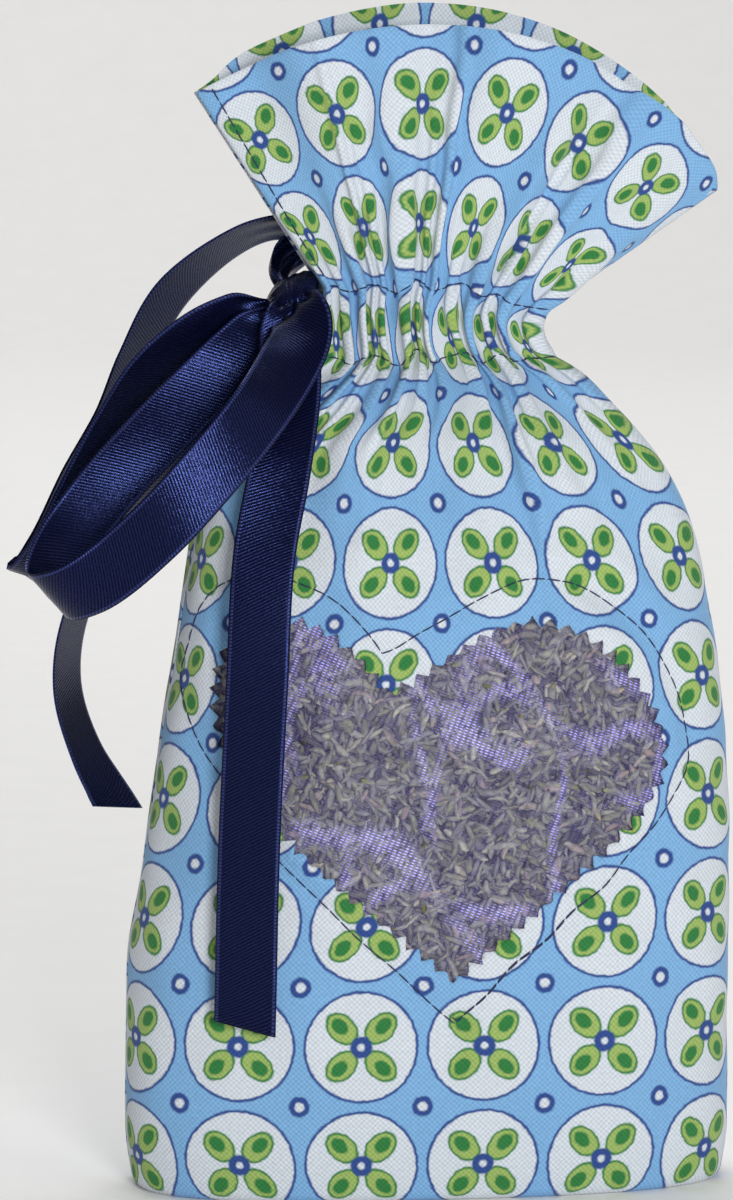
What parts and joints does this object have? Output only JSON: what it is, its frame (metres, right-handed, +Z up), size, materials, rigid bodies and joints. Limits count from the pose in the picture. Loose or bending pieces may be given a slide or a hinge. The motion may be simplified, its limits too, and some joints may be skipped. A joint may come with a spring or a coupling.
{
  "type": "lavender sachet",
  "caption": "Filled drawstring pouch of printed cotton with a heart-shaped organza window showing dried lavender, and a satin ribbon bow at its gathered neck.",
  "frame": {"origin": "centre of the base, on the ground, measured on the pouch without its bow", "axes": "+Z up along the pouch, the heart window faces -Y, the bow is on the -X side"},
  "size_m": [0.1171, 0.0507, 0.1917],
  "materials": {
    "printed_cotton": "plain-weave cotton, light blue ground with a printed repeat",
    "organza": "sheer lilac organza with a soft glint",
    "dried_lavender": "loose dried buds",
    "navy_thread": "spun sewing thread",
    "seam_thread": "spun sewing thread",
    "satin_ribbon": "navy satin with woven edges"
  },
  "bodies": {
    "bag": {"front_panel": "printed_cotton", "back_panel": "printed_cotton", "organza_window": "organza", "lavender_fill": "dried_lavender", "heart_stitching": "navy_thread", "front_casing_stitch_lower": "navy_thread", "back_casing_stitch_lower": "navy_thread", "front_casing_stitch_upper": "navy_thread", "back_casing_stitch_upper": "navy_thread", "front_slit_stitch": "navy_thread", "back_slit_stitch": "navy_thread", "left_side_seam_thread": "seam_thread", "right_side_seam_thread": "seam_thread", "casing_ribbon": "satin_ribbon"},
    "bow": {"bow_knot": "satin_ribbon", "front_strand": "satin_ribbon", "back_strand": "satin_ribbon"},
    "front_loop": {"front_loop": "satin_ribbon"},
    "rear_loop": {"rear_loop": "satin_ribbon"},
    "front_tail": {"front_tail": "satin_ribbon"},
    "rear_tail": {"rear_tail": "satin_ribbon"}
  },
  "joints": [
    {"name": "drawstring_pull", "type": "slide", "parent": "bag", "child": "bow", "axis": [-1, 0, 0], "range_m": [0, 0.012]},
    {"name": "front_loop_lift", "type": "hinge", "parent": "bow", "child": "front_loop", "pos_m": [-0.0224, 0, 0.144], "axis": [0, 1, 0], "range_deg": [0, 40]},
    {"name": "rear_loop_lift", "type": "hinge", "parent": "bow", "child": "rear_loop", "pos_m": [-0.0224, 0, 0.144], "axis": [0, 1, 0], "range_deg": [0, 10]},
    {"name": "front_tail_swing", "type": "hinge", "parent": "bow", "child": "front_tail", "pos_m": [-0.0224, 0, 0.144], "axis": [0, 1, 0], "range_deg": [-12, 8]},
    {"name": "rear_tail_swing", "type": "hinge", "parent": "bow", "child": "rear_tail", "pos_m": [-0.0224, 0.0042, 0.144], "axis": [1, 0, 0], "range_deg": [0, 20]}
  ]
}
